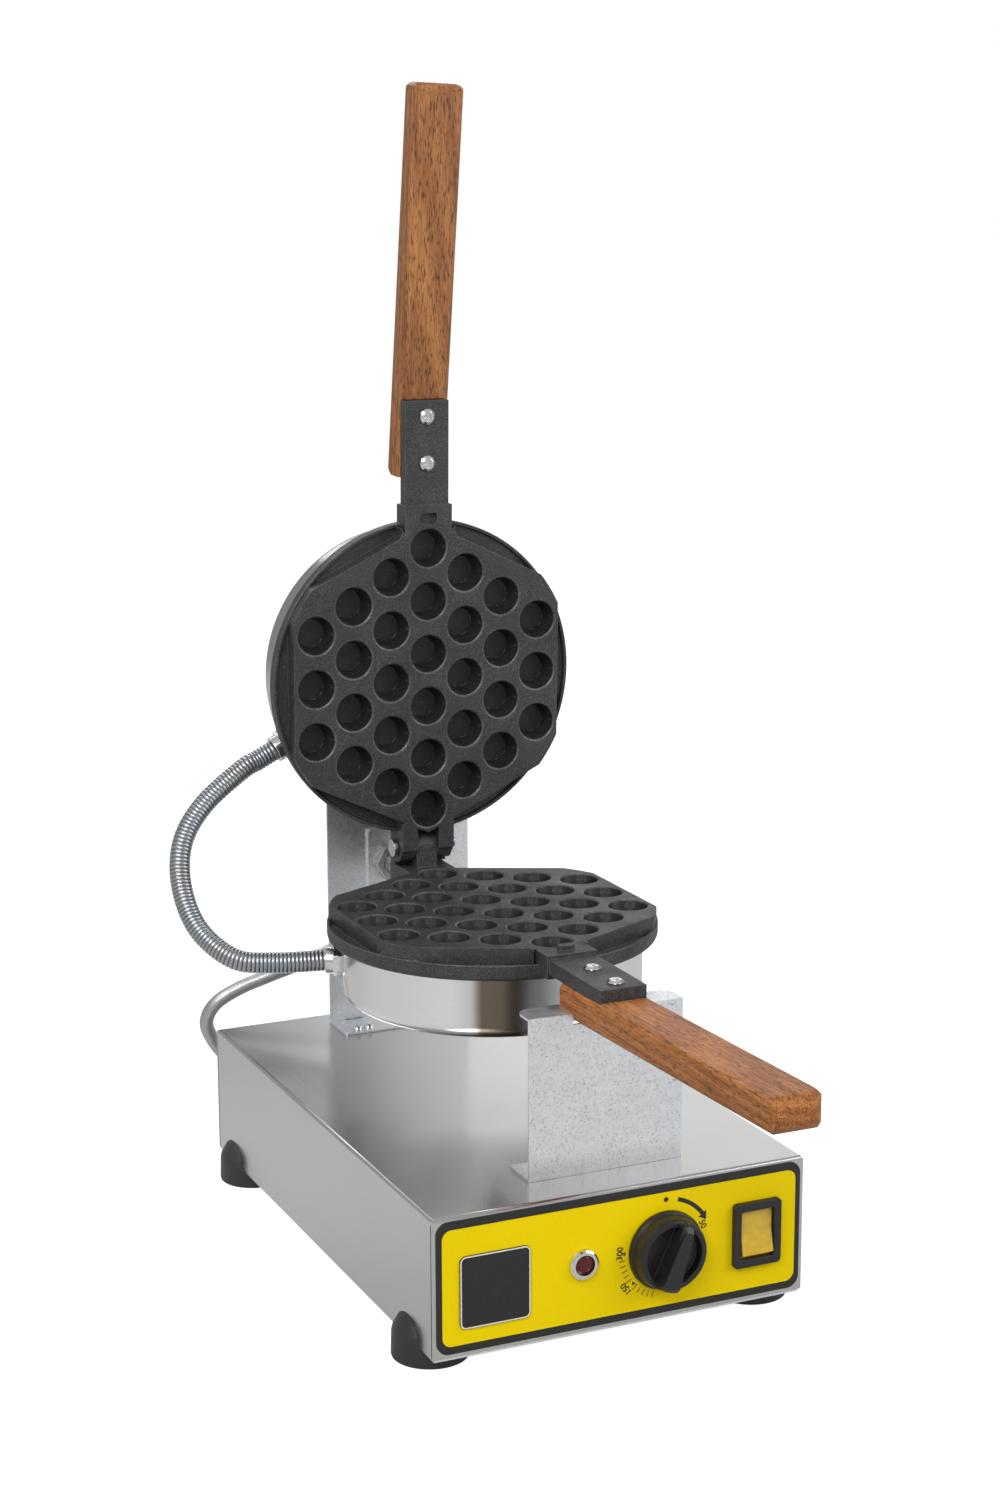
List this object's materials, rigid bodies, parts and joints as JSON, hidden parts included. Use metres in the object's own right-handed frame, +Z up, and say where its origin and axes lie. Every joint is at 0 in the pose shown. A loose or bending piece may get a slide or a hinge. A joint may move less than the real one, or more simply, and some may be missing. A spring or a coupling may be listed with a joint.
{
  "type": "bubble waffle iron",
  "caption": "Table-top electric bubble waffle iron: folded steel base with control panel, brackets, and a hinged pair of cast cell moulds with long wooden handles.",
  "frame": {"origin": "centre of the base's bottom plate, on its underside; the feet stand 12 mm lower", "axes": "+X to the object's right seen from the control panel, +Y from the control panel to the rear, +Z up along the open lid"},
  "size_m": [0.3161, 0.626, 0.754],
  "materials": {
    "stainless": "brushed",
    "zinc_sheet": "galvanised",
    "zinc": "bright zinc plated",
    "foot_plastic": "satin",
    "panel_print": "screen printed, satin",
    "badge_black": "satin",
    "chrome_trim": "polished",
    "lamp_red": "translucent red",
    "black_plastic": "satin",
    "rocker_amber": "translucent amber",
    "knob_black": "satin",
    "steel_bar": "turned",
    "ceramic": "matte",
    "conduit_smooth": "satin",
    "conduit_ribbed": "ribbed, satin",
    "cast_mould": "cast, dark non-stick coat",
    "pan_steel": "polished",
    "heater_steel": "dull oxidised",
    "wool": "pressed fibre",
    "handle_wood": "oiled"
  },
  "bodies": {
    "base": {"base_shell": "stainless", "bottom_plate": "zinc_sheet", "bottom_screws": "zinc", "foot_front_left": "foot_plastic", "foot_front_right": "foot_plastic", "foot_rear_left": "foot_plastic", "foot_rear_right": "foot_plastic", "foot_screws": "zinc", "control_panel": "panel_print", "panel_badge": "badge_black", "lamp_bezel": "chrome_trim", "lamp_lens": "lamp_red", "lamp_body": "black_plastic", "lamp_nut": "zinc", "switch_frame": "black_plastic", "switch_body": "black_plastic", "thermostat": "ceramic", "terminal_block": "ceramic", "cord_gland": "black_plastic", "front_bracket": "zinc_sheet", "rear_bracket": "zinc_sheet", "bracket_screws": "zinc", "pivot_plate": "zinc_sheet", "pivot_tube": "steel_bar", "pivot_nuts": "zinc", "supply_gland": "zinc", "supply_conduit": "conduit_smooth", "supply_elbow": "zinc", "lower_mould": "cast_mould", "lower_pan": "pan_steel", "lower_heater": "heater_steel", "lower_insulation": "wool", "lower_pan_screws": "zinc", "lower_handle": "handle_wood", "lower_handle_screws": "zinc", "lower_gland": "zinc", "hinge_pin": "steel_bar", "hinge_clip": "zinc"},
    "lid": {"upper_mould": "cast_mould", "upper_pan": "pan_steel", "upper_heater": "heater_steel", "upper_insulation": "wool", "upper_pan_screws": "zinc", "upper_handle": "handle_wood", "upper_handle_screws": "zinc", "upper_gland": "zinc", "lid_conduit": "conduit_ribbed"},
    "knob": {"knob": "knob_black", "knob_shaft": "steel_bar"},
    "rocker": {"switch_rocker": "rocker_amber"}
  },
  "joints": [
    {"name": "lid_hinge", "type": "hinge", "parent": "base", "child": "lid", "pos_m": [0, 0.1133, 0.2305], "axis": [1, 0, 0], "range_deg": [0, 88.7], "deforming": ["lid_conduit"]},
    {"name": "knob_turn", "type": "hinge", "parent": "base", "child": "knob", "pos_m": [0.028, -0.2, 0.046], "axis": [0, 1, 0], "range_deg": [0, 250]},
    {"name": "rocker_tilt", "type": "hinge", "parent": "base", "child": "rocker", "pos_m": [0.091, -0.1918, 0.046], "axis": [1, 0, 0], "range_deg": [0, 16]}
  ]
}
